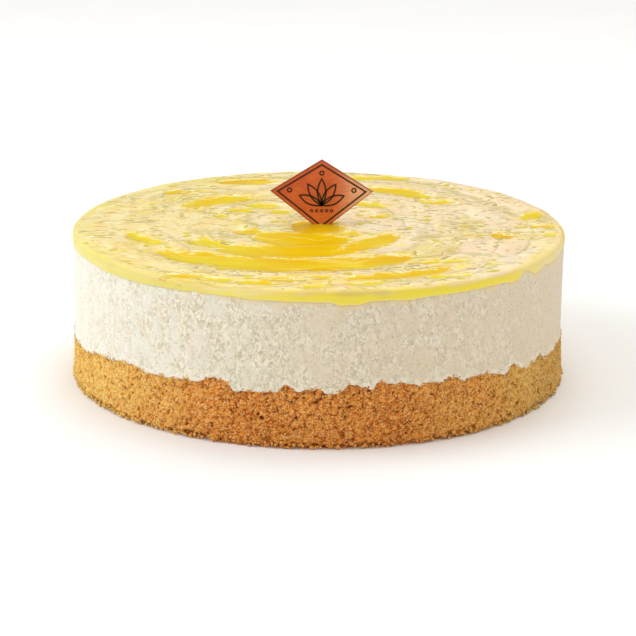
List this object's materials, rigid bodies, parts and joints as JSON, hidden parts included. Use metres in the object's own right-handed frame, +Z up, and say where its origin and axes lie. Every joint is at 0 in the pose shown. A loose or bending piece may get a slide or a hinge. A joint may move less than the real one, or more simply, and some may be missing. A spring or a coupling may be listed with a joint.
{
  "type": "mousse cake",
  "caption": "Whole round mousse cake on a crumbly sponge base, under a swirled yellow fruit glaze, with a small kite-shaped plaque standing in the top.",
  "frame": {"origin": "centre of the cake's underside, on the surface it stands on", "axes": "+Z up along the cake's axis; -Y is the front, towards which the plaque faces; +X is to the right as seen from the front"},
  "size_m": [0.148, 0.1481, 0.0641],
  "materials": {
    "sponge": "matte",
    "mousse": "matte",
    "glaze": "polished",
    "plaque": "satin"
  },
  "bodies": {
    "root": {"sponge_base": "sponge", "mousse": "mousse", "fruit_glaze": "glaze", "plaque": "plaque"}
  },
  "joints": []
}
